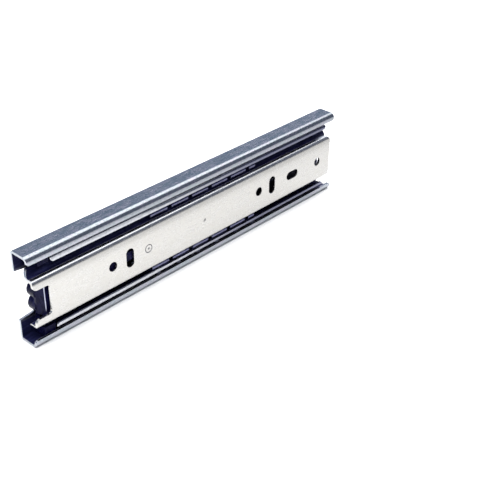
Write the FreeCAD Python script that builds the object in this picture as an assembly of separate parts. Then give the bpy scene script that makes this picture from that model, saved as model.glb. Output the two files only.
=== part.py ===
import FreeCAD, Part
import math
import os

# Side-mounted ball-bearing drawer slide, three sections, full extension, shown closed.
# Millimetres. +X is the way the drawer comes out, +Y points out of the face that is
# screwed to the cabinet side, +Z is up. The origin is the middle of that face.
# A cross-section is given as (depth, height): depth is measured from the cabinet face
# towards the drawer, so y = -depth, and height is z.

LENGTH = 200.0            # cabinet member, end to end
HEIGHT = 45.0             # cabinet member, over its flanges
DEPTH = 12.7              # cabinet face to drawer face
REAR = -LENGTH / 2
FRONT = LENGTH / 2

WALL = 1.2                # sheet of the cabinet and drawer members
MID_WALL = 1.0            # sheet of the intermediate member
CAGE_WALL = 0.5           # sheet of the ball cages

BALL_R = 1.72             # 3.5 mm balls, less the running clearance
BALL_PITCH = 13.2
BALL_SEAT = 1.75          # ball centre to each flat of its race

# Cabinet member
LIP_DEPTH = 10.9          # outside of the rolled lip
LIP_HEIGHT = 18.9         # the lip ends this far from mid-height
CORNER_R = 1.6
LIP_R = 2.5
LIP_CORNER_R = 1.3        # the lip's corners at both ends
NOTCH_DEPTH = 9.0         # the bumper's notch in the rear of the web
NOTCH_MOUTH = 12.4        # half its height at the rear edge
NOTCH_FLOOR = 11.2        # half its height at the floor
PEG = (REAR + 10.3, 15.5)
PEG_R = 1.5
CABINET_STOP_X = (FRONT - 1.5, FRONT - 0.5)
CABINET_STOP_DEPTH = 2.05
CABINET_STOP_HEIGHT = (8.0, 13.0)

# Intermediate member
MID_START = REAR + 12.0
MID_END = REAR + 193.5
MID_BACK = 2.3            # depth of its web
MID_LIP_DEPTH = 10.6
MID_LIP_HEIGHT = 15.7
MID_LIP_R = 1.2
MID_TERRACE = 17.8        # height of the flange over the inner balls
MID_SHOULDER = 19.7       # height of the flange behind the outer balls
MID_RAMP = 7.2            # depth where the ramp between the two begins
MID_CORNER_R = 1.4
MID_NOTCH = (5.0, 8.0)    # length and half height of the notch in the rear of its web
MID_WINDOWS = (REAR + 40.0, REAR + 67.0, REAR + 163.0)
MID_WINDOW = (17.0, 9.5)
MID_WIDE_WINDOW_X = REAR + 115.0
MID_WIDE_WINDOW = (18.0, 12.0)
STOP_THICK = 0.8
REAR_STOP_DEPTH = 1.4
REAR_STOP_HEIGHT = (9.5, 15.0)
FRONT_STOP_X = REAR + 186.2   # a tab pushed out of the web, which the lever meets
FRONT_STOP_DEPTH = 5.5
FRONT_STOP_HEIGHT = (-4.2, 0.8)

# Drawer member
DRAWER_START = REAR + 0.3
DRAWER_END = REAR + 195.3
DRAWER_TOP = 11.8         # height of its flange
DRAWER_R = 2.0
DRAWER_RAMP = 8.6         # depth where the ball ramp begins
DRAWER_TAIL = 5.4         # depth where the ball ramp ends
INNER_BEND_R = 0.6        # bends that turn back, on every member
PRONG_HEIGHT = 7.25       # half height of the gap between its two rear prongs
PRONG_FLOOR = REAR + 8.6
PRONG_R = 1.6
PRONG_TIP_R = 2.2
DRAWER_CORNER_R = 2.8
TAIL_FRONT_R = 2.0
TAIL_REAR_R = 5.2         # the ball ramp's rear corner is cut well back

# Ball cages
OUTER_CAGE = (REAR + 65.0, REAR + 146.0)
OUTER_CAGE_BACK = 1.5
OUTER_CAGE_TOP = 20.75
OUTER_CAGE_EDGE = 9.1
OUTER_BALLS = 6
INNER_CAGE = (REAR + 67.6, REAR + 137.9)
INNER_CAGE_BACK = 3.6
INNER_CAGE_TOP = 16.25
INNER_CAGE_EDGE = 9.4
INNER_CAGE_TAB = 12.95    # the tabs of the inner cage reach down to this height
TAB_BULGE = 10.5          # depth that a tab bulges out to, below the intermediate member's lip
TAB_BULGE_HEIGHT = 14.2
TAB_NECK = 15.35          # height where the bulge begins
TAB_R = 1.2
CAGE_EDGE_R = 0.6
CAGE_CORNER_R = 1.0
CAGE_BRIDGE = 4.0         # between the two windows in a cage's web
CAGE_END = 5.0            # from a cage's end to its window
OUTER_CAGE_WINDOW = 9.0   # half heights of the windows
INNER_CAGE_WINDOW = 7.5
TAB_LEAD = 3.9            # from the start of a tab to the ball behind it
INNER_BALLS = 5
OUTER_WINDOW_R = 1.62     # the outer balls stand through their windows
INNER_WINDOW_R = 1.8      # the inner balls sit inside theirs
TAB_GAP = 2.7             # between two tabs

# Ball centres, (depth, height)
OUTER_BALL = (LIP_DEPTH - WALL - BALL_SEAT, HEIGHT / 2 - WALL - BALL_SEAT)
INNER_BALL = (MID_LIP_DEPTH - MID_WALL - BALL_SEAT, MID_TERRACE - MID_WALL - BALL_SEAT)

# Screw holes
HOLE_R = 2.3
SLOT_W = 4.5
CABINET_HOLES = (REAR + 35.0, REAR + 163.0)
CABINET_SLOT = REAR + 67.0
CABINET_TALL_SLOTS = (REAR + 45.0, REAR + 173.0)
DRAWER_HOLES = (REAR + 42.4, REAR + 138.4, REAR + 184.9)
DRAWER_TALL_SLOTS = (REAR + 52.4, REAR + 148.4)
DRAWER_SLOT = REAR + 164.3
TALL_SLOT_L = 9.6
FLAT_SLOT_L = 8.8
DIMPLE_X = REAR + 99.4
DIMPLE_R = 0.9
DIMPLE_DEEP = 0.35

# Release lever and its rivet
PIVOT_X = REAR + 63.5
RIVET_R = 1.4
RIVET_HEAD_R = 2.1
LEVER_FRONT = 11.2        # depth of the face next to the drawer member's web
LEVER_BACK = 8.6

# Rear bumper
BUMPER_REAR = REAR + 5.4
BUMPER_FRONT = MID_START - 0.4
SCALLOP_PITCH = 6.9
SCALLOP_R = 4.6
PLUG_DEPTH = 5.0
NOSE_HEIGHT = 9.7         # half height of the nose between the prongs
NOSE_DEPTH = 10.0
BLOCK_REAR = REAR + 6.2
BLOCK_DEPTH = 9.3
BLOCK_HEIGHT = (15.6, 20.6)


def at(x, section):
    """The point of a (depth, height) pair at a place along the slide."""
    depth, height = section
    return FreeCAD.Vector(x, -depth, height)


def box(x, depth, height):
    """A block between two x values, two depths and two heights."""
    size = (x[1] - x[0], depth[1] - depth[0], height[1] - height[0])
    return Part.makeBox(*size, FreeCAD.Vector(x[0], -depth[1], height[0]))


def drill(x, height, radius, depth):
    """A round cutter through a range of depths."""
    base = FreeCAD.Vector(x, -depth[1], height)
    return Part.makeCylinder(radius, depth[1] - depth[0], base, FreeCAD.Vector(0, 1, 0))


def obround(x, height, length, width, depth, upright=False):
    """A slot cutter with round ends, along the slide or upright."""
    reach = (length - width) / 2
    step = (0, reach) if upright else (reach, 0)
    half = (width / 2, reach) if upright else (reach, width / 2)
    tool = box((x - half[0], x + half[0]), depth, (height - half[1], height + half[1]))
    for side in (1, -1):
        tool = tool.fuse(drill(x + side * step[0], height + side * step[1], width / 2, depth))
    return tool


def offset_corners(points, distance):
    """The same polyline moved sideways by a distance, to the left of its own direction."""
    normals = []
    for here, there in zip(points, points[1:]):
        step = there.sub(here)
        normals.append(FreeCAD.Vector(0, step.z, -step.y).normalize())
    moved = [points[0].add(normals[0] * distance)]
    for i in range(1, len(points) - 1):
        bisector = normals[i - 1].add(normals[i]).normalize()
        moved.append(points[i].add(bisector * (distance / bisector.dot(normals[i]))))
    moved.append(points[-1].add(normals[-1] * distance))
    return moved


def rounded_edges(points, radii):
    """Straight runs joined by tangent arcs, one radius per inner corner."""
    edges = []
    start = points[0]
    for i, radius in enumerate(radii, 1):
        back = points[i - 1].sub(points[i]).normalize()
        ahead = points[i + 1].sub(points[i]).normalize()
        half = math.acos(max(-1.0, min(1.0, back.dot(ahead)))) / 2
        cut = radius / math.tan(half)
        bisector = back.add(ahead).normalize()
        middle = points[i].add(bisector * (radius / math.sin(half) - radius))
        edges.append(Part.LineSegment(start, points[i].add(back * cut)).toShape())
        edges.append(Part.Arc(points[i].add(back * cut), middle, points[i].add(ahead * cut)).toShape())
        start = points[i].add(ahead * cut)
    edges.append(Part.LineSegment(start, points[-1]).toShape())
    return edges


def roll_formed(x, upper, radii, wall):
    """A sheet section, mirrored about mid-height and run along the slide.

    upper lists the corners of the outside surface from the upper lip down to the web,
    radii the outside bend radius at each of them; a negative radius bends the other way.
    """
    inward = 1 if upper[-1][0] < upper[0][0] else -1
    half = [at(x[0], corner) for corner in upper]
    corners = half + [FreeCAD.Vector(p.x, p.y, -p.z) for p in reversed(half)]
    bends = radii + radii[::-1]
    outside = rounded_edges(corners, [abs(r) for r in bends])
    inner = offset_corners(corners, inward * wall)
    inside = rounded_edges(inner, [r - wall if r > 0 else wall - r for r in bends])
    caps = [Part.LineSegment(corners[end], inner[end]).toShape() for end in (0, -1)]
    wire = Part.Wire(Part.__sortEdges__(outside + inside + caps))
    return Part.Face(wire).extrude(FreeCAD.Vector(x[1] - x[0], 0, 0))


def corner_cut(x, height, radius, depth, toward):
    """A cutter that rounds an outside corner of the sheet. toward points out of the corner."""
    block = box(sorted((x, x - toward[0] * radius)), depth, sorted((height, height - toward[1] * radius)))
    return block.cut(drill(x - toward[0] * radius, height - toward[1] * radius, radius, depth))


def cut_all(solid, tools):
    """Takes every cutter out of a solid."""
    for tool in tools:
        solid = solid.cut(tool)
    return solid.removeSplitter()


def cabinet_member():
    """The outer channel, screwed to the cabinet side."""
    upper = [(LIP_DEPTH, LIP_HEIGHT), (LIP_DEPTH, HEIGHT / 2), (0, HEIGHT / 2)]
    body = roll_formed((REAR, FRONT), upper, [LIP_R, CORNER_R], WALL)
    through = (-1.0, WALL + 1.0)
    tools = [drill(x, 0, HOLE_R, through) for x in CABINET_HOLES]
    tools += [obround(x, 0, TALL_SLOT_L, SLOT_W, through, True) for x in CABINET_TALL_SLOTS]
    tools.append(obround(CABINET_SLOT, 0, FLAT_SLOT_L, SLOT_W, through))
    tools.append(rear_notch(through))
    tools += [drill(PEG[0], side * PEG[1], PEG_R, through) for side in (1, -1)]
    lip = (LIP_DEPTH - WALL - 0.6, LIP_DEPTH + 1)
    for side in (1, -1):
        tools.append(corner_cut(REAR, side * LIP_HEIGHT, LIP_CORNER_R, lip, (-1, -side)))
        tools.append(corner_cut(FRONT, side * LIP_HEIGHT, LIP_CORNER_R, lip, (1, -side)))
    body = cut_all(body, tools)
    for side in (1, -1):
        heights = sorted(side * height for height in CABINET_STOP_HEIGHT)
        stop = box(CABINET_STOP_X, (WALL - 0.1, CABINET_STOP_DEPTH), heights)
        body = body.fuse(stop)
    return body.removeSplitter()


def rear_notch(depth):
    """The notch in the rear of the cabinet member's web that the bumper fills."""
    half = [(-1.0, NOTCH_MOUTH), (0.0, NOTCH_MOUTH), (NOTCH_DEPTH, NOTCH_FLOOR)]
    points = half + [(x, -z) for x, z in reversed(half)]
    wire = Part.makePolygon([FreeCAD.Vector(REAR + x, -depth[1], z) for x, z in points + points[:1]])
    return Part.Face(wire).extrude(FreeCAD.Vector(0, depth[1] - depth[0], 0))


def intermediate_member():
    """The middle channel, with a race for each of the four rows of balls."""
    upper = [
        (MID_LIP_DEPTH, MID_LIP_HEIGHT),
        (MID_LIP_DEPTH, MID_TERRACE),
        (MID_RAMP, MID_TERRACE),
        (MID_RAMP - (MID_SHOULDER - MID_TERRACE), MID_SHOULDER),
        (MID_BACK, MID_SHOULDER),
    ]
    body = roll_formed((MID_START, MID_END), upper, [MID_LIP_R, -INNER_BEND_R, CORNER_R, CORNER_R], MID_WALL)
    web = (MID_BACK - 1, MID_BACK + MID_WALL + 0.6)
    tools = [obround(x, 0, *MID_WINDOW, web) for x in MID_WINDOWS]
    tools.append(obround(MID_WIDE_WINDOW_X, 0, *MID_WIDE_WINDOW, web))
    tools.append(box((MID_START - 1, MID_START + MID_NOTCH[0]), web, (-MID_NOTCH[1], MID_NOTCH[1])))
    lip = (MID_LIP_DEPTH - MID_WALL - 0.8, MID_LIP_DEPTH + 1)
    for side in (1, -1):
        tools.append(corner_cut(MID_START, side * MID_LIP_HEIGHT, MID_CORNER_R, lip, (-1, -side)))
        tools.append(corner_cut(MID_END, side * MID_LIP_HEIGHT, MID_CORNER_R, lip, (1, -side)))
    body = cut_all(body, tools)
    for side in (1, -1):
        heights = sorted(side * height for height in REAR_STOP_HEIGHT)
        body = body.fuse(box((MID_START, MID_START + STOP_THICK), (REAR_STOP_DEPTH, MID_BACK + 0.1), heights))
    stop_depth = (MID_BACK + MID_WALL - 0.1, FRONT_STOP_DEPTH)
    front_stop = box((FRONT_STOP_X, FRONT_STOP_X + STOP_THICK), stop_depth, FRONT_STOP_HEIGHT)
    return body.fuse(front_stop).removeSplitter()


def drawer_member():
    """The inner channel, screwed to the drawer side."""
    ramp = DRAWER_RAMP - DRAWER_TAIL
    upper = [(DRAWER_TAIL, DRAWER_TOP + ramp), (DRAWER_RAMP, DRAWER_TOP), (DEPTH, DRAWER_TOP)]
    body = roll_formed((DRAWER_START, DRAWER_END), upper, [-INNER_BEND_R, DRAWER_R], WALL)
    web = (DEPTH - WALL - 0.5, DEPTH + 1)
    tools = [drill(x, 0, HOLE_R, web) for x in DRAWER_HOLES]
    tools += [obround(x, 0, TALL_SLOT_L, SLOT_W, web, True) for x in DRAWER_TALL_SLOTS]
    tools.append(obround(DRAWER_SLOT, 0, FLAT_SLOT_L, SLOT_W, web))
    tools.append(drill(DIMPLE_X, 0, DIMPLE_R, (DEPTH - DIMPLE_DEEP, DEPTH + 1)))
    tools.append(drill(PIVOT_X, 0, RIVET_R + 0.02, web))
    tools.append(drill(PIVOT_X, 0, RIVET_HEAD_R + 0.05, (DEPTH - 0.42, DEPTH + 1)))
    tools.append(prong_gap(web))
    everything = (0.0, DEPTH + 1)
    for side in (1, -1):
        tools.append(corner_cut(DRAWER_START, side * PRONG_HEIGHT, PRONG_TIP_R, web, (-1, -side)))
        front = (DRAWER_RAMP, DEPTH + 1)
        tools.append(corner_cut(DRAWER_END, side * DRAWER_TOP, DRAWER_CORNER_R, front, (1, side)))
        tail = side * (DRAWER_TOP + ramp)
        tools.append(corner_cut(DRAWER_END, tail, TAIL_FRONT_R, everything, (1, side)))
        tools.append(corner_cut(DRAWER_START, tail, TAIL_REAR_R, everything, (-1, side)))
    return cut_all(body, tools)


def prong_gap(depth):
    """The notch with round corners that leaves two prongs at the rear of the drawer member."""
    round_x = PRONG_FLOOR - PRONG_R
    round_z = PRONG_HEIGHT - PRONG_R
    gap = box((DRAWER_START - 1, round_x), depth, (-PRONG_HEIGHT, PRONG_HEIGHT))
    gap = gap.fuse(box((round_x - 0.1, PRONG_FLOOR), depth, (-round_z, round_z)))
    for side in (1, -1):
        gap = gap.fuse(drill(round_x, side * round_z, PRONG_R, depth))
    return gap


def ball_places(cage, count, lead):
    """Where the balls of a row lie along their cage."""
    return [cage[0] + lead + i * BALL_PITCH for i in range(count)]


def outer_places():
    """Balls between the cabinet and intermediate members."""
    slack = OUTER_CAGE[1] - OUTER_CAGE[0] - (OUTER_BALLS - 1) * BALL_PITCH
    return ball_places(OUTER_CAGE, OUTER_BALLS, slack / 2)


def inner_places():
    """Balls between the intermediate and drawer members."""
    return ball_places(INNER_CAGE, INNER_BALLS, TAB_LEAD)


def window(x, ball, side, radius, below):
    """The round window in a cage for one ball. It starts a little below the ball's centre."""
    base = at(x, (ball[0], side * (ball[1] - below)))
    return Part.makeCylinder(radius, 4.0, base, FreeCAD.Vector(0, 0, side))


def web_windows(cage, half, depth):
    """Two long openings in the web of a cage, with a bridge between them."""
    span = (cage[1] - cage[0] - 2 * CAGE_END - CAGE_BRIDGE) / 2
    middles = (cage[0] + CAGE_END + span / 2, cage[1] - CAGE_END - span / 2)
    return [obround(x, 0, span, 2 * half, depth) for x in middles]


def outer_cage():
    """The steel cage that keeps the outer balls apart."""
    upper = [(OUTER_CAGE_EDGE, OUTER_CAGE_TOP), (OUTER_CAGE_BACK, OUTER_CAGE_TOP)]
    body = roll_formed(OUTER_CAGE, upper, [CAGE_CORNER_R], CAGE_WALL)
    tools = [window(x, OUTER_BALL, side, OUTER_WINDOW_R, 1.0) for x in outer_places() for side in (1, -1)]
    web = (OUTER_CAGE_BACK - 0.2, OUTER_CAGE_BACK + CAGE_WALL + 0.2)
    tools += web_windows(OUTER_CAGE, OUTER_CAGE_WINDOW, web)
    return cut_all(body, tools)


def inner_cage():
    """The steel cage that keeps the inner balls apart. A bulging tab covers each ball from the side."""
    upper = [
        (INNER_CAGE_EDGE + 0.2, INNER_CAGE_TAB),
        (TAB_BULGE, TAB_BULGE_HEIGHT),
        (INNER_CAGE_EDGE, TAB_NECK),
        (INNER_CAGE_EDGE, INNER_CAGE_TOP),
        (INNER_CAGE_BACK, INNER_CAGE_TOP),
    ]
    bends = [TAB_R, -INNER_BEND_R, CAGE_EDGE_R, CAGE_CORNER_R]
    body = roll_formed(INNER_CAGE, upper, bends, CAGE_WALL)
    sides = (1, -1)
    tools = [window(x, INNER_BALL, side, INNER_WINDOW_R, BALL_R) for x in inner_places() for side in sides]
    tab = (INNER_CAGE_EDGE - CAGE_WALL - 0.1, TAB_BULGE + 1)
    for i in range(INNER_BALLS):
        end = INNER_CAGE[0] + (i + 1) * BALL_PITCH
        for side in (1, -1):
            edges = sorted((side * (INNER_CAGE_TAB - 1), side * (INNER_CAGE_TOP + 1)))
            tools.append(box((end - TAB_GAP, end), tab, edges))
    web = (INNER_CAGE_BACK - 0.2, INNER_CAGE_BACK + CAGE_WALL + 0.2)
    tools += web_windows(INNER_CAGE, INNER_CAGE_WINDOW, web)
    return cut_all(body, tools)


def balls(name, places, ball):
    """One steel ball per window, top and bottom rows."""
    made = {}
    for row, side in (("top", 1), ("bottom", -1)):
        for number, x in enumerate(places, 1):
            centre = at(x, (ball[0], side * ball[1]))
            made["%s_ball_%s_%d" % (name, row, number)] = Part.makeSphere(BALL_R, centre)
    return made


def scallop_plug(depth):
    """The rear of the bumper: three rounded ridges above each other."""
    half = 1.5 * SCALLOP_PITCH + 0.7
    centre_x = BUMPER_REAR + SCALLOP_R
    body = box((centre_x - 2.4, REAR + 8.9), depth, (-half, half))
    ridges = [drill(centre_x, i * SCALLOP_PITCH, SCALLOP_R, depth) for i in (-1, 0, 1)]
    for ridge in ridges:
        body = body.fuse(ridge)
    return body.common(box((REAR, REAR + 8.9), depth, (-half, half)))


def rear_bumper():
    """The moulded bumper that the drawer member's prongs close onto."""
    plug = scallop_plug((0.0, PLUG_DEPTH))
    inside = (WALL + 0.15, 4.3)
    plate = box((REAR + 7.6, BUMPER_FRONT), inside, (-20.6, 20.6))
    front = BUMPER_FRONT - REAR
    nose_side = [(5.9, 4.0), (5.9, 5.4), (7.4, NOSE_DEPTH), (front, NOSE_DEPTH), (front, 4.0)]
    corners = [FreeCAD.Vector(REAR + x, -depth, -NOSE_HEIGHT) for x, depth in nose_side + nose_side[:1]]
    nose = Part.Face(Part.makePolygon(corners)).extrude(FreeCAD.Vector(0, 0, 2 * NOSE_HEIGHT))
    body = plug.fuse(plate).fuse(nose)
    for side in (1, -1):
        heights = sorted(side * height for height in BLOCK_HEIGHT)
        body = body.fuse(box((BLOCK_REAR, BUMPER_FRONT), (WALL + 0.15, BLOCK_DEPTH), heights))
        body = body.fuse(drill(PEG[0], side * PEG[1], PEG_R - 0.02, (0.0, 2.0)))
    body = body.cut(box((REAR, REAR + 8.95), (-1, WALL + 0.15), (11.15, 25.0)))
    body = body.cut(box((REAR, REAR + 8.95), (-1, WALL + 0.15), (-25.0, -11.15)))
    return body.removeSplitter()


def release_lever():
    """The moulded lever that locks the drawer member in and lets it be lifted out."""
    depth = (LEVER_BACK, LEVER_FRONT)
    body = obround(PIVOT_X, 0, 14.0, 8.0, depth)
    body = body.fuse(obround(PIVOT_X + 12.5, 0, 27.0, 5.0, depth))
    body = body.fuse(obround(PIVOT_X - 12.5, 0, 24.0, 4.4, depth))
    body = body.fuse(obround(PIVOT_X - 20.0, 0, 9.0, 7.0, (LEVER_BACK - 1.0, LEVER_FRONT)))
    hook = box((PIVOT_X + 21.5, PIVOT_X + 25.5), (4.7, LEVER_FRONT), (-2.5, 2.5))
    body = body.fuse(hook)
    for i in range(3):
        body = body.cut(drill(PIVOT_X - 17.6 - 2.4 * i, 0, 0.6, (LEVER_BACK - 1.1, LEVER_BACK - 0.5)))
    return body.cut(drill(PIVOT_X, 0, RIVET_R + 0.05, (0, DEPTH))).removeSplitter()


def lever_rivet():
    """The steel rivet that the lever turns on, flush with the drawer face."""
    head = drill(PIVOT_X, 0, RIVET_HEAD_R, (DEPTH - 0.4, DEPTH - 0.02))
    shank = drill(PIVOT_X, 0, RIVET_R, (LEVER_BACK - 0.4, DEPTH - 0.2))
    tail = drill(PIVOT_X, 0, 2.3, (LEVER_BACK - 0.9, LEVER_BACK - 0.1))
    return head.fuse(shank).fuse(tail).removeSplitter()


def all_parts():
    """Every piece of the slide by name."""
    made = {
        "cabinet_member": cabinet_member(),
        "intermediate_member": intermediate_member(),
        "drawer_member": drawer_member(),
        "outer_ball_cage": outer_cage(),
        "inner_ball_cage": inner_cage(),
        "rear_bumper": rear_bumper(),
        "release_lever": release_lever(),
        "lever_rivet": lever_rivet(),
    }
    made.update(balls("outer", outer_places(), OUTER_BALL))
    made.update(balls("inner", inner_places(), INNER_BALL))
    return made


os.makedirs("parts", exist_ok=True)
for node, shape in all_parts().items():
    shape.exportStep("parts/%s.step" % node)
    print("%-24s valid %s solids %d volume %.1f" % (node, shape.isValid(), len(shape.Solids), shape.Volume))
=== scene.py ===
import math

import bpy
import numpy as np
from mathutils import Matrix, Vector


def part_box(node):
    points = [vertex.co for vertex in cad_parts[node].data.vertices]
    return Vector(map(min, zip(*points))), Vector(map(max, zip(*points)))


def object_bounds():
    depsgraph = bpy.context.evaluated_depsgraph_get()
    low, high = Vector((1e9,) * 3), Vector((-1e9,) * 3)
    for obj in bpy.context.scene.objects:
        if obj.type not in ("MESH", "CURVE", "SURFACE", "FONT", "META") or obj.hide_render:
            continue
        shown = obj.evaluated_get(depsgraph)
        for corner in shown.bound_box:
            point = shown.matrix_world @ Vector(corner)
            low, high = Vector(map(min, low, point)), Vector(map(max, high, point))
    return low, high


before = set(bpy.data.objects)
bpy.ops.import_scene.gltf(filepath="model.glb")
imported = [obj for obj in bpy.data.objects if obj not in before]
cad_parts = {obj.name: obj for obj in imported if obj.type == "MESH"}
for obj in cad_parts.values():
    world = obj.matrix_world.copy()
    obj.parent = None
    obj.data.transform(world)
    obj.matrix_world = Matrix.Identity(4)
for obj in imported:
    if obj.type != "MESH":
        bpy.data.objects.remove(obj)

cad_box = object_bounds()

# ------------------------------------------------------------------ floor, room and camera
# The slide lies on the lower edge of its cabinet member on a plain white sweep. A broad, soft
# ceiling light hangs over it. The room is dim on the near side and blue-grey on the far side.
FLOOR_HEIGHT = cad_box[0][2]
MM = 0.001


def flat_sheet(name, half, rows, height):
    """A level square: x and y step evenly over the square, z is the given height throughout."""
    steps = np.linspace(-half, half, rows)
    x, y = np.meshgrid(steps, steps, indexing="ij")
    points = np.stack([x, y, np.full_like(x, height)], axis=-1).reshape(-1, 3)
    corner = (np.arange(rows - 1)[:, None] * rows + np.arange(rows - 1)[None, :]).ravel()
    quads = np.stack([corner, corner + rows, corner + rows + 1, corner + 1], axis=-1)
    mesh = bpy.data.meshes.new(name)
    mesh.from_pydata(points.tolist(), [], quads.tolist())
    return mesh


def join(tree, source, target):
    """Links an output socket to an input socket."""
    tree.links.new(source, target)


def new_material(name):
    """A material with nodes, and its node tree."""
    material = bpy.data.materials.new(name)
    material.use_nodes = True
    return material, material.node_tree


def shader_of(material):
    """The material's Principled BSDF."""
    return material.node_tree.nodes["Principled BSDF"]


def ramp(tree, source, start, end, low_value=0.0, high_value=1.0, smooth=True):
    """A value that goes from low to high while the source goes from start to end."""
    node = tree.nodes.new("ShaderNodeMapRange")
    node.interpolation_type = "SMOOTHSTEP" if smooth else "LINEAR"
    node.inputs["From Min"].default_value = start
    node.inputs["From Max"].default_value = end
    node.inputs["To Min"].default_value = low_value
    node.inputs["To Max"].default_value = high_value
    join(tree, source, node.inputs["Value"])
    return node.outputs["Result"]


def arithmetic(tree, operation, first, second=None, third=None):
    """A Math node. Each operand is a socket or a number."""
    node = tree.nodes.new("ShaderNodeMath")
    node.operation = operation
    for slot, value in enumerate((first, second, third)):
        if value is None:
            continue
        if isinstance(value, (int, float)):
            node.inputs[slot].default_value = value
        else:
            join(tree, value, node.inputs[slot])
    return node.outputs[0]


def blend_colour(tree, amount, first, second):
    """A colour between two. Amount is a socket; each colour is a socket or a triple."""
    node = tree.nodes.new("ShaderNodeMix")
    node.data_type = "RGBA"
    join(tree, amount, node.inputs["Factor"])
    for slot, value in (("A", first), ("B", second)):
        if isinstance(value, tuple):
            node.inputs[slot].default_value = (*value, 1)
        else:
            join(tree, value, node.inputs[slot])
    return node.outputs["Result"]


# The sweep is white. What the metal mirrors of it is painted shade: greyer away from the slide and to +X.
SWEEP_WHITE = 0.70
SWEEP_NEAR = 0.042
SWEEP_FAR = 0.075
sweep, tree = new_material("white_sweep")
place = tree.nodes.new("ShaderNodeTexCoord").outputs["Object"]
axes = tree.nodes.new("ShaderNodeSeparateXYZ")
join(tree, place, axes.inputs[0])
aside = arithmetic(tree, "ABSOLUTE", axes.outputs["Y"])
away = ramp(tree, aside, SWEEP_NEAR, SWEEP_FAR)
along_near = ramp(tree, axes.outputs["X"], -0.10, 0.14, 0.80, 0.66, smooth=False)
along_far = ramp(tree, axes.outputs["X"], -0.09, 0.02, 0.66, 0.42, smooth=False)
mirrored = tree.nodes.new("ShaderNodeMix")
join(tree, away, mirrored.inputs["Factor"])
join(tree, along_near, mirrored.inputs["A"])
join(tree, along_far, mirrored.inputs["B"])
seen = tree.nodes.new("ShaderNodeLightPath").outputs["Is Camera Ray"]
lightness = tree.nodes.new("ShaderNodeMix")
join(tree, seen, lightness.inputs["Factor"])
join(tree, mirrored.outputs["Result"], lightness.inputs["A"])
lightness.inputs["B"].default_value = SWEEP_WHITE
join(tree, lightness.outputs["Result"], shader_of(sweep).inputs["Base Color"])
shader_of(sweep).inputs["Roughness"].default_value = 1.0
shader_of(sweep).inputs["Specular IOR Level"].default_value = 0.0

floor = bpy.data.objects.new("floor", flat_sheet("floor", half=4.0, rows=24, height=FLOOR_HEIGHT))
bpy.context.collection.objects.link(floor)
floor.data.materials.append(sweep)

# The room's light by direction: p and q are how far a ray leans along X and Y for each unit up.
CEILING = (2.5, 2.5, 2.5)
FAR_WALL = (0.31, 0.375, 0.51)
NEAR_WALL = (0.23, 0.25, 0.32)
DARK_BAND = (0.19, 0.21, 0.27)
room = bpy.data.worlds.new("soft_room")
bpy.context.scene.world = room
room.use_nodes = True
tree = room.node_tree
axes = tree.nodes.new("ShaderNodeSeparateXYZ")
join(tree, tree.nodes.new("ShaderNodeTexCoord").outputs["Generated"], axes.inputs[0])
rise = arithmetic(tree, "MAXIMUM", axes.outputs["Z"], 0.02)
p = arithmetic(tree, "DIVIDE", arithmetic(tree, "ABSOLUTE", axes.outputs["X"]), rise)
q = arithmetic(tree, "DIVIDE", axes.outputs["Y"], rise)
front_edge = ramp(tree, p, 0.4, 1.3, -0.62, -0.02, smooth=False)
over_front = arithmetic(tree, "SUBTRACT", q, front_edge)
inside_front = ramp(tree, over_front, 0.0, 0.14)
inside_back = ramp(tree, q, 1.0, 0.86)
not_too_low = ramp(tree, p, 2.2, 1.7)
dimmer = ramp(tree, p, 0.85, 1.35, 1.0, 0.6)
ceiling = arithmetic(tree, "MULTIPLY", inside_front, inside_back)
ceiling = arithmetic(tree, "MULTIPLY", ceiling, not_too_low)
ceiling = arithmetic(tree, "MULTIPLY", ceiling, dimmer)
side = ramp(tree, axes.outputs["Y"], -0.35, 0.25)
horizon = ramp(tree, axes.outputs["Z"], 0.30, -0.05)
near_tone = blend_colour(tree, horizon, DARK_BAND, NEAR_WALL)
walls = blend_colour(tree, side, near_tone, FAR_WALL)
light = blend_colour(tree, ceiling, walls, CEILING)
seen = tree.nodes.new("ShaderNodeLightPath").outputs["Is Camera Ray"]
join(tree, blend_colour(tree, seen, light, (1, 1, 1)), tree.nodes["Background"].inputs["Color"])


def lamp(name, place, size, watts):
    """A square, level light that shines straight down. The metal doesn't mirror it."""
    light = bpy.data.lights.new(name, "AREA")
    light.shape = "SQUARE"
    light.size = size
    light.energy = watts
    holder = bpy.data.objects.new(name, light)
    holder.location = place
    holder.visible_glossy = False
    bpy.context.collection.objects.link(holder)


lamp("key", (-0.2, -0.35, 1.1), 0.9, 17)
lamp("fill", (0.6, 0.5, 1.3), 0.9, 12)

# The camera stands off the slide's rear end, in front of it and above, with a long lens.
CAMERA_PLACE = (-0.2787, -0.2873, 0.2279)
CAMERA_TURN = math.radians(-48.59)
CAMERA_TILT = math.radians(32.05)
CAMERA_ROLL = math.radians(1.36)
LENS = 68.3
SENSOR_WIDTH = 36
camera = bpy.data.cameras.new("camera")
camera.lens = LENS
camera.sensor_width = SENSOR_WIDTH
camera.clip_start = 0.01
eye = bpy.data.objects.new("camera", camera)
eye.matrix_world = (
    Matrix.Translation(CAMERA_PLACE)
    @ Matrix.Rotation(CAMERA_TURN, 4, "Z")
    @ Matrix.Rotation(math.pi / 2 - CAMERA_TILT, 4, "X")
    @ Matrix.Rotation(CAMERA_ROLL, 4, "Z")
)
bpy.context.collection.objects.link(eye)
bpy.context.scene.camera = eye
bpy.context.scene.view_settings.view_transform = "Standard"
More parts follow.
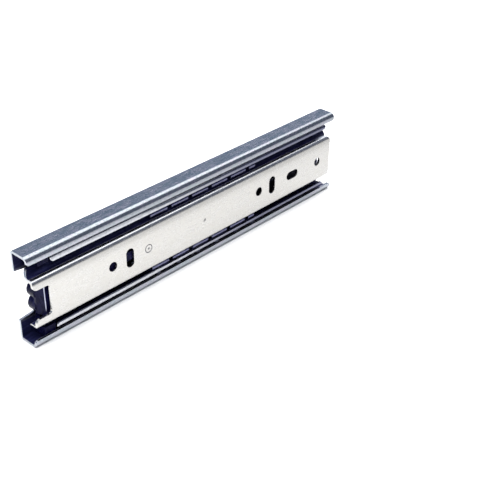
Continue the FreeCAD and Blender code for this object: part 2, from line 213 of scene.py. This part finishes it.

# ------------------------------------------------------------------ cabinet member
# The outer channel is screwed to the cabinet. It is 1.2 mm steel strip, roll formed, cropped and
# pierced, then bright zinc plated with a faint blue passivation. Its inside is painted dark as shade.
CABINET_ZINC = (0.365, 0.405, 0.435)
CABINET_CLOUD = (0.415, 0.405, 0.465)
# Painted shade inside the channels: a near-black race tone and its streaks.
RACE_SHADE = (0.008, 0.009, 0.038)
RACE_SHADE_STREAK = (0.022, 0.024, 0.080)
WORN_EDGE = (0.62, 0.63, 0.66)
# Painted shade that darkens the intermediate member's outside towards +X.
FAR_SHADE = (0.10, 0.105, 0.17)
# Painted shade on the webs between the races, in two clouded tones.
WEB_SHADE = (0.125, 0.13, 0.175)
WEB_SHADE_CLOUD = (0.17, 0.175, 0.225)
SHADE_EDGE = 0.3 * MM
SHADE_METALLIC = 0.15
SHADE_SPECULAR = 0.12
FLOAT = "NodeSocketFloat"
VECTOR = "NodeSocketVector"


def new_group(name, inputs, outputs):
    """An empty node group with value inputs, given as a table of defaults, and the outputs named."""
    group = bpy.data.node_groups.new(name, "ShaderNodeTree")
    for label, value in inputs.items():
        socket = group.interface.new_socket(label, in_out="INPUT", socket_type=FLOAT)
        socket.default_value = value
    for label, kind in outputs.items():
        group.interface.new_socket(label, in_out="OUTPUT", socket_type=kind)
    start = group.nodes.new("NodeGroupInput")
    end = group.nodes.new("NodeGroupOutput")
    return group, start.outputs, end.inputs


def noise(tree, size, detail=3.0, roughness=0.55):
    """Noise on object coordinates. Size is the size of its features along X, Y and Z in metres."""
    stretch = tree.nodes.new("ShaderNodeMapping")
    stretch.inputs["Scale"].default_value = [1 / value for value in size]
    join(tree, tree.nodes.new("ShaderNodeTexCoord").outputs["Object"], stretch.inputs["Vector"])
    texture = tree.nodes.new("ShaderNodeTexNoise")
    texture.inputs["Scale"].default_value = 1.0
    texture.inputs["Detail"].default_value = detail
    texture.inputs["Roughness"].default_value = roughness
    join(tree, stretch.outputs["Vector"], texture.inputs["Vector"])
    return texture.outputs["Fac"]


def object_axes(tree):
    """The X, Y and Z of object coordinates, as three sockets."""
    axes = tree.nodes.new("ShaderNodeSeparateXYZ")
    join(tree, tree.nodes.new("ShaderNodeTexCoord").outputs["Object"], axes.inputs[0])
    return axes.outputs["X"], axes.outputs["Y"], axes.outputs["Z"]


# Rolled strip has fine streaks along its length, and plating leaves soft clouds and small spangles.
plating, given, out = new_group(
    "plated_strip",
    {"Contrast": 1.0},
    {"Cloud": FLOAT, "Streak": FLOAT, "Spangle": FLOAT, "Height": FLOAT},
)
cloud = ramp(plating, noise(plating, (5 * MM, 2.6 * MM, 3.4 * MM), 4.0, 0.65), 0.36, 0.64)
streak = ramp(plating, noise(plating, (14 * MM, 0.42 * MM, 0.42 * MM), 2.0, 0.5), 0.35, 0.65)
spangle = ramp(plating, noise(plating, (1.3 * MM, 0.9 * MM, 0.9 * MM), 2.0, 0.7), 0.35, 0.65)
for source, target in ((cloud, "Cloud"), (streak, "Streak"), (spangle, "Spangle")):
    offset = arithmetic(plating, "SUBTRACT", source, 0.5)
    join(plating, arithmetic(plating, "MULTIPLY_ADD", offset, given["Contrast"], 0.5), out[target])
fine = arithmetic(plating, "MULTIPLY", streak, 0.35)
coarse = arithmetic(plating, "MULTIPLY", spangle, 0.65)
join(plating, arithmetic(plating, "ADD", fine, coarse), out["Height"])

# Cut edges and tight folds are rubbed bright. The edge also catches light as a slightly rounded one.
edges, given, out = new_group("edge_wear", {"Reach": 0.25 * MM}, {"Wear": FLOAT, "Normal": VECTOR})
rounded = edges.nodes.new("ShaderNodeBevel")
rounded.samples = 6
join(edges, given["Reach"], rounded.inputs["Radius"])
facing = edges.nodes.new("ShaderNodeVectorMath")
facing.operation = "DOT_PRODUCT"
join(edges, rounded.outputs["Normal"], facing.inputs[0])
join(edges, edges.nodes.new("ShaderNodeNewGeometry").outputs["Normal"], facing.inputs[1])
turned = ramp(edges, facing.outputs["Value"], 0.985, 0.80)
patches = ramp(edges, noise(edges, (2.5 * MM, 2.5 * MM, 2.5 * MM), 3.0, 0.7), 0.30, 0.62, 0.35, 1.0)
join(edges, arithmetic(edges, "MULTIPLY", turned, patches), out["Wear"])
join(edges, rounded.outputs["Normal"], out["Normal"])

# Painted shade covers what lies between two depths and closer to mid-height than a given height.
# Its race part lies past the web's half height, and the sheared ends of the strip stay unshaded.
shade_group, given, out = new_group(
    "painted_race_shade",
    {"Inner": 0.0, "Outer": 10 * MM, "Height": 21 * MM, "Web": 0.0},
    {"Shade": FLOAT, "Race": FLOAT, "Shade Mottle": FLOAT},
)
_, y, z = object_axes(shade_group)
depth = arithmetic(shade_group, "MULTIPLY", y, -1.0)
from_middle = arithmetic(shade_group, "ABSOLUTE", z)
past = ramp(shade_group, arithmetic(shade_group, "SUBTRACT", depth, given["Inner"]), 0.0, SHADE_EDGE)
short = ramp(shade_group, arithmetic(shade_group, "SUBTRACT", given["Outer"], depth), 0.0, SHADE_EDGE)
below = ramp(shade_group, arithmetic(shade_group, "SUBTRACT", given["Height"], from_middle), 0.0, SHADE_EDGE)
turn = shade_group.nodes.new("ShaderNodeSeparateXYZ")
join(shade_group, shade_group.nodes.new("ShaderNodeNewGeometry").outputs["Normal"], turn.inputs[0])
sheared = ramp(shade_group, arithmetic(shade_group, "ABSOLUTE", turn.outputs["X"]), 0.8, 0.5)
zone = arithmetic(shade_group, "MULTIPLY", arithmetic(shade_group, "MULTIPLY", past, short), below)
zone = arithmetic(shade_group, "MULTIPLY", zone, sheared)
join(shade_group, zone, out["Shade"])
beyond = ramp(shade_group, arithmetic(shade_group, "SUBTRACT", from_middle, given["Web"]), -0.8 * MM, 0.8 * MM)
join(shade_group, arithmetic(shade_group, "MULTIPLY", zone, beyond), out["Race"])
mottle = noise(shade_group, (7 * MM, 1.1 * MM, 1.1 * MM), 3.0, 0.6)
join(shade_group, ramp(shade_group, mottle, 0.45, 0.70), out["Shade Mottle"])


def place_group(tree, group, **values):
    """A copy of a shared effect in a material, with its own values. Returns its outputs."""
    node = tree.nodes.new("ShaderNodeGroup")
    node.node_tree = group
    for label, value in values.items():
        node.inputs[label].default_value = value
    return node.outputs


def raised(tree, height, distance, normal=None):
    """The normal of a surface raised by the height mask times a distance in metres."""
    relief = tree.nodes.new("ShaderNodeBump")
    relief.inputs["Strength"].default_value = 1.0
    relief.inputs["Distance"].default_value = distance
    join(tree, height, relief.inputs["Height"])
    if normal:
        join(tree, normal, relief.inputs["Normal"])
    return relief.outputs["Normal"]


def zinc_plate(
    name, tones, rough, shade_zone, contrast=1.0, texture=0.0045 * MM, flecks=0.9,
    lean=None, far_shade_span=None, fold_highlight=None,
):
    """Bright zinc: two close tones in clouds and spangles, streaked gloss, worn edges, painted shade in
    the races.
    Lean makes a direction to add to the normal where rolling leaves the strip a little out of flat.
    A fold highlight is a brighter tone for the strip past a height: a painted highlight along the bend.
    A far shade span is painted shade that gets heavier between two places along the strip."""
    material, tree = new_material(name)
    surface = place_group(tree, plating, Contrast=contrast)
    worn = place_group(tree, edges, Reach=0.22 * MM)
    shaded = place_group(tree, shade_group, **dict(zip(("Inner", "Outer", "Height", "Web"), shade_zone)))
    clouded = blend_colour(tree, surface["Cloud"], *tones)
    darker = tuple(value * 0.82 for value in tones[0])
    fleck = ramp(tree, surface["Spangle"], 0.60, 0.0, 0.0, flecks)
    flecked = blend_colour(tree, fleck, clouded, darker)
    if fold_highlight:
        height, tone = fold_highlight
        bent = ramp(tree, arithmetic(tree, "ABSOLUTE", object_axes(tree)[2]), height, height + 0.8 * MM)
        flecked = blend_colour(tree, bent, flecked, tone)
    bright = blend_colour(tree, arithmetic(tree, "MULTIPLY", worn["Wear"], 0.75), flecked, WORN_EDGE)
    shade_tone = blend_colour(tree, shaded["Shade Mottle"], RACE_SHADE, RACE_SHADE_STREAK)
    if far_shade_span:
        bright = blend_colour(tree, ramp(tree, object_axes(tree)[0], *far_shade_span), bright, FAR_SHADE)
    shaded_web = blend_colour(tree, surface["Cloud"], WEB_SHADE, WEB_SHADE_CLOUD)
    inside = blend_colour(tree, shaded["Race"], shaded_web, shade_tone)
    colour = blend_colour(tree, shaded["Shade"], bright, inside)
    join(tree, colour, shader_of(material).inputs["Base Color"])
    metallic = ramp(tree, shaded["Race"], 0.0, 1.0, 1.0, SHADE_METALLIC, smooth=False)
    join(tree, metallic, shader_of(material).inputs["Metallic"])
    shader_of(material).inputs["Specular IOR Level"].default_value = SHADE_SPECULAR
    clouds = ramp(tree, surface["Cloud"], 0.0, 1.0, rough - 0.035, rough + 0.045, smooth=False)
    streaks = ramp(tree, surface["Streak"], 0.0, 1.0, -0.02, 0.03, smooth=False)
    gloss = arithmetic(tree, "ADD", clouds, streaks)
    gloss = arithmetic(tree, "MULTIPLY_ADD", shaded["Shade"], 0.15, gloss)
    join(tree, gloss, shader_of(material).inputs["Roughness"])
    normal = worn["Normal"]
    if lean:
        added = tree.nodes.new("ShaderNodeVectorMath")
        join(tree, normal, added.inputs[0])
        join(tree, lean(tree), added.inputs[1])
        unit = tree.nodes.new("ShaderNodeVectorMath")
        unit.operation = "NORMALIZE"
        join(tree, added.outputs["Vector"], unit.inputs[0])
        normal = unit.outputs["Vector"]
    normal = raised(tree, surface["Height"], texture, normal)
    join(tree, normal, shader_of(material).inputs["Normal"])
    return material


def finish_nodes(material, *names):
    """Gives the named CAD pieces this material in each of their slots."""
    for name in names:
        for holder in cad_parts[name].material_slots:
            holder.material = material


# Painted shade covers the inside of the cabinet member, darkest in the races.
CABINET_SHADE_ZONE = (0.6 * MM, 10.0 * MM, 21.7 * MM, 13.0 * MM)
cabinet_zinc = zinc_plate("cabinet_zinc", (CABINET_ZINC, CABINET_CLOUD), 0.20, CABINET_SHADE_ZONE)
finish_nodes(cabinet_zinc, "cabinet_member")

# ------------------------------------------------------------------ outer ball cage and its balls
# Two rows of hardened steel balls run between the cabinet and intermediate members. A folded strip
# of thin steel holds them in round windows. The strip is oiled and left dark.
CAGE_STEEL = (0.055, 0.058, 0.10)
CAGE_CLOUD = (0.075, 0.078, 0.125)
BALL_STEEL = (0.32, 0.33, 0.38)
BALL_OIL = (0.10, 0.10, 0.15)


def oiled_and_shaded_steel(name, tones, rough, lit=None):
    """Dark oiled steel. Where lit is given, only a band of heights keeps the steel's tone as painted
    light, and the rest is painted shade.
    """
    material, tree = new_material(name)
    surface = place_group(tree, plating, Contrast=1.0)
    worn = place_group(tree, edges, Reach=0.12 * MM)
    colour = blend_colour(tree, surface["Cloud"], *tones)
    rubbed = tuple(min(1.0, value * 1.8) for value in tones[1])
    colour = blend_colour(tree, arithmetic(tree, "MULTIPLY", worn["Wear"], 0.5), colour, rubbed)
    shader_of(material).inputs["Metallic"].default_value = 1.0
    if lit:
        height = arithmetic(tree, "ABSOLUTE", object_axes(tree)[2])
        above = ramp(tree, height, lit[0] - SHADE_EDGE, lit[0])
        under = ramp(tree, height, lit[1] + SHADE_EDGE, lit[1])
        band = arithmetic(tree, "MULTIPLY", above, under)
        shade_tone = blend_colour(tree, surface["Streak"], RACE_SHADE, RACE_SHADE_STREAK)
        colour = blend_colour(tree, band, shade_tone, colour)
        metallic = ramp(tree, band, 0.0, 1.0, SHADE_METALLIC, 1.0, smooth=False)
        join(tree, metallic, shader_of(material).inputs["Metallic"])
    join(tree, colour, shader_of(material).inputs["Base Color"])
    gloss = ramp(tree, surface["Cloud"], 0.0, 1.0, rough - 0.04, rough + 0.05)
    join(tree, gloss, shader_of(material).inputs["Roughness"])
    shader_of(material).inputs["Specular IOR Level"].default_value = SHADE_SPECULAR
    normal = raised(tree, surface["Height"], 0.004 * MM, worn["Normal"])
    join(tree, normal, shader_of(material).inputs["Normal"])
    return material


def nodes_like(start):
    """The names of the CAD pieces that begin with this word."""
    return [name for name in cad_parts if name.startswith(start)]


outer_cage_steel = oiled_and_shaded_steel("outer_cage_steel", (CAGE_STEEL, CAGE_CLOUD), 0.32)
finish_nodes(outer_cage_steel, "outer_ball_cage")
ball_steel = oiled_and_shaded_steel("ball_steel", (BALL_OIL, BALL_STEEL), 0.12)
finish_nodes(ball_steel, *nodes_like("outer_ball_top"), *nodes_like("outer_ball_bottom"))

# ------------------------------------------------------------------ intermediate member
# The middle channel runs between the two ball rows. It is 1 mm strip, formed and plated as the
# cabinet member is, with deep races. Nearly all but the outside of its two lips is painted dark as shade.
MID_ZINC = (0.48, 0.49, 0.52)
MID_CLOUD = (0.52, 0.525, 0.56)
# Painted shade covers the intermediate member inside its lips, darkest in the races.
MID_SHADE_ZONE = (-1.0 * MM, 9.9 * MM, 25.0 * MM, 9.0 * MM)
# The intermediate member's outside darkens towards +X with painted shade.
MID_FAR_SHADE = (-35 * MM, 45 * MM, 0.0, 0.85)


def coined_lip(tree):
    """A push along -Y on the lip's outside, near the rear, where the bend is coined nearly flat."""
    x, y, _ = object_axes(tree)
    outside = ramp(tree, y, -9.9 * MM, -10.2 * MM)
    coined = ramp(tree, x, -44 * MM, -20 * MM, -1.6, 0.0)
    push = arithmetic(tree, "MULTIPLY", outside, coined)
    way = tree.nodes.new("ShaderNodeCombineXYZ")
    join(tree, push, way.inputs["Y"])
    return way.outputs["Vector"]


mid_zinc = zinc_plate(
    "intermediate_zinc", (MID_ZINC, MID_CLOUD), 0.20, MID_SHADE_ZONE, lean=coined_lip, far_shade_span=MID_FAR_SHADE
)
finish_nodes(mid_zinc, "intermediate_member")

# ------------------------------------------------------------------ inner ball cage and its balls
# The inner cage is narrower. Its edge is cut into tabs that bulge out below the intermediate
# member's lips. A band across each tab's crest is painted light and the rest is painted shade.
# Its balls sit behind the tabs.
TAB_STEEL = (0.115, 0.118, 0.20)
TAB_CLOUD = (0.15, 0.152, 0.24)
# The band of heights that is painted light; above and below it the cage is painted shade.
TAB_LIT_BAND = (13.3 * MM, 14.35 * MM)
inner_cage_steel = oiled_and_shaded_steel("inner_cage_steel", (TAB_STEEL, TAB_CLOUD), 0.28, lit=TAB_LIT_BAND)
finish_nodes(inner_cage_steel, "inner_ball_cage")
finish_nodes(ball_steel, *nodes_like("inner_ball_top"), *nodes_like("inner_ball_bottom"))

# ------------------------------------------------------------------ drawer member
# The inner channel is screwed to the drawer's side. It is 1.2 mm strip with a bright, slightly
# warm plate and a soft satin face. Its ball ramps reach back into the intermediate member.
DRAWER_ZINC = (0.475, 0.463, 0.438)
DRAWER_CLOUD = (0.500, 0.492, 0.476)
# Painted shade covers the drawer member where it lies inside the intermediate member.
DRAWER_SHADE_ZONE = (-1.0 * MM, 10.0 * MM, 25.0 * MM, 0.0)
# A brighter tone along the drawer member's bends is a painted highlight.
DRAWER_FOLD_HIGHLIGHT = (10.6 * MM, (0.60, 0.61, 0.63))


def crowned_web(tree):
    """A push along +Z on the web's upper edge. It rises towards the bend and fades out inside it."""
    z = object_axes(tree)[2]
    rise = ramp(tree, z, 5.8 * MM, 10.0 * MM, 0.0, 0.10)
    way = tree.nodes.new("ShaderNodeCombineXYZ")
    fade = ramp(tree, z, 11.0 * MM, 10.0 * MM)
    join(tree, arithmetic(tree, "MULTIPLY", rise, fade), way.inputs["Z"])
    return way.outputs["Vector"]


drawer_zinc = zinc_plate(
    "drawer_zinc", (DRAWER_ZINC, DRAWER_CLOUD), 0.24, DRAWER_SHADE_ZONE,
    contrast=0.8, texture=0.0016 * MM, flecks=0.22, lean=crowned_web, fold_highlight=DRAWER_FOLD_HIGHLIGHT,
)
finish_nodes(drawer_zinc, "drawer_member")

# ------------------------------------------------------------------ rear bumper
# The bumper is a block of glossy navy plastic at the rear of the cabinet member. It stops the
# drawer member softly, and three scallops grip the end of the web.
NAVY = (0.0022, 0.0022, 0.017)
NAVY_LIGHT = (0.006, 0.006, 0.036)
NAVY_RUBBED = (0.20, 0.20, 0.34)
# A painted highlight: a thin bright line down the nose.
NOSE_HIGHLIGHT = (0.62, 0.64, 0.78)
NOSE_HIGHLIGHT_X = -92.6 * MM


def moulded_navy(name, rough, wear, highlight_x=None):
    """Navy plastic: flow clouds, fine moulded texture, a slight sheen and rubbed edges.
    A highlight x is where along X a painted highlight runs as a thin bright line down the nose."""
    material, tree = new_material(name)
    flow = ramp(tree, noise(tree, (3 * MM, 3 * MM, 5 * MM), 3.0, 0.6), 0.35, 0.65)
    worn = place_group(tree, edges, Reach=0.35 * MM)
    colour = blend_colour(tree, flow, NAVY, NAVY_LIGHT)
    colour = blend_colour(tree, arithmetic(tree, "MULTIPLY", worn["Wear"], wear), colour, NAVY_RUBBED)
    if highlight_x:
        x, y, z = object_axes(tree)
        aside = arithmetic(tree, "ABSOLUTE", arithmetic(tree, "SUBTRACT", x, highlight_x))
        near = ramp(tree, aside, 0.32 * MM, 0.18 * MM)
        face = arithmetic(tree, "MULTIPLY", near, ramp(tree, y, -9.6 * MM, -9.9 * MM))
        ends = ramp(tree, arithmetic(tree, "ABSOLUTE", z), 7.8 * MM, 5.0 * MM)
        colour = blend_colour(tree, arithmetic(tree, "MULTIPLY", face, ends), colour, NOSE_HIGHLIGHT)
    join(tree, colour, shader_of(material).inputs["Base Color"])
    gloss = ramp(tree, flow, 0.0, 1.0, rough - 0.04, rough + 0.06)
    join(tree, gloss, shader_of(material).inputs["Roughness"])
    shader_of(material).inputs["Specular IOR Level"].default_value = 0.05
    grain = noise(tree, (0.5 * MM, 0.5 * MM, 0.5 * MM), 2.0, 0.5)
    normal = raised(tree, grain, 0.006 * MM, worn["Normal"])
    join(tree, normal, shader_of(material).inputs["Normal"])
    return material


bumper_navy = moulded_navy("bumper_navy", 0.26, 0.25, highlight_x=NOSE_HIGHLIGHT_X)
finish_nodes(bumper_navy, "rear_bumper")

# ------------------------------------------------------------------ release lever and its rivet
# A small navy lever behind the drawer member's web lifts to let the drawer off. A steel rivet
# through the web is its pivot. Its flush head shows as a ring on the outside.
RIVET_STEEL = (0.46, 0.45, 0.43)
RIVET_GROOVE = (0.03, 0.03, 0.045)
lever_navy = moulded_navy("lever_navy", 0.30, 0.15)
finish_nodes(lever_navy, "release_lever")
rivet_low, rivet_high = (Vector(corner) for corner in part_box("lever_rivet"))
rivet_middle = (rivet_low + rivet_high) / 2
rivet_steel, tree = new_material("rivet_steel")
x, _, z = object_axes(tree)
across = arithmetic(tree, "POWER", arithmetic(tree, "SUBTRACT", x, rivet_middle.x), 2.0)
upward = arithmetic(tree, "POWER", arithmetic(tree, "SUBTRACT", z, rivet_middle.z), 2.0)
radius = arithmetic(tree, "SQRT", arithmetic(tree, "ADD", across, upward))
rim = ramp(tree, radius, 1.65 * MM, 1.95 * MM)
centre = ramp(tree, radius, 0.75 * MM, 0.45 * MM)
groove = arithmetic(tree, "MAXIMUM", rim, arithmetic(tree, "MULTIPLY", centre, 0.7))
surface = place_group(tree, plating, Contrast=1.0)
head = blend_colour(tree, surface["Spangle"], RIVET_STEEL, DRAWER_CLOUD)
join(tree, blend_colour(tree, groove, head, RIVET_GROOVE), shader_of(rivet_steel).inputs["Base Color"])
join(tree, ramp(tree, surface["Cloud"], 0.0, 1.0, 0.24, 0.34), shader_of(rivet_steel).inputs["Roughness"])
shader_of(rivet_steel).inputs["Metallic"].default_value = 1.0
sunk = raised(tree, arithmetic(tree, "MULTIPLY", groove, -1.0), 0.05 * MM)
join(tree, sunk, shader_of(rivet_steel).inputs["Normal"])
finish_nodes(rivet_steel, "lever_rivet")
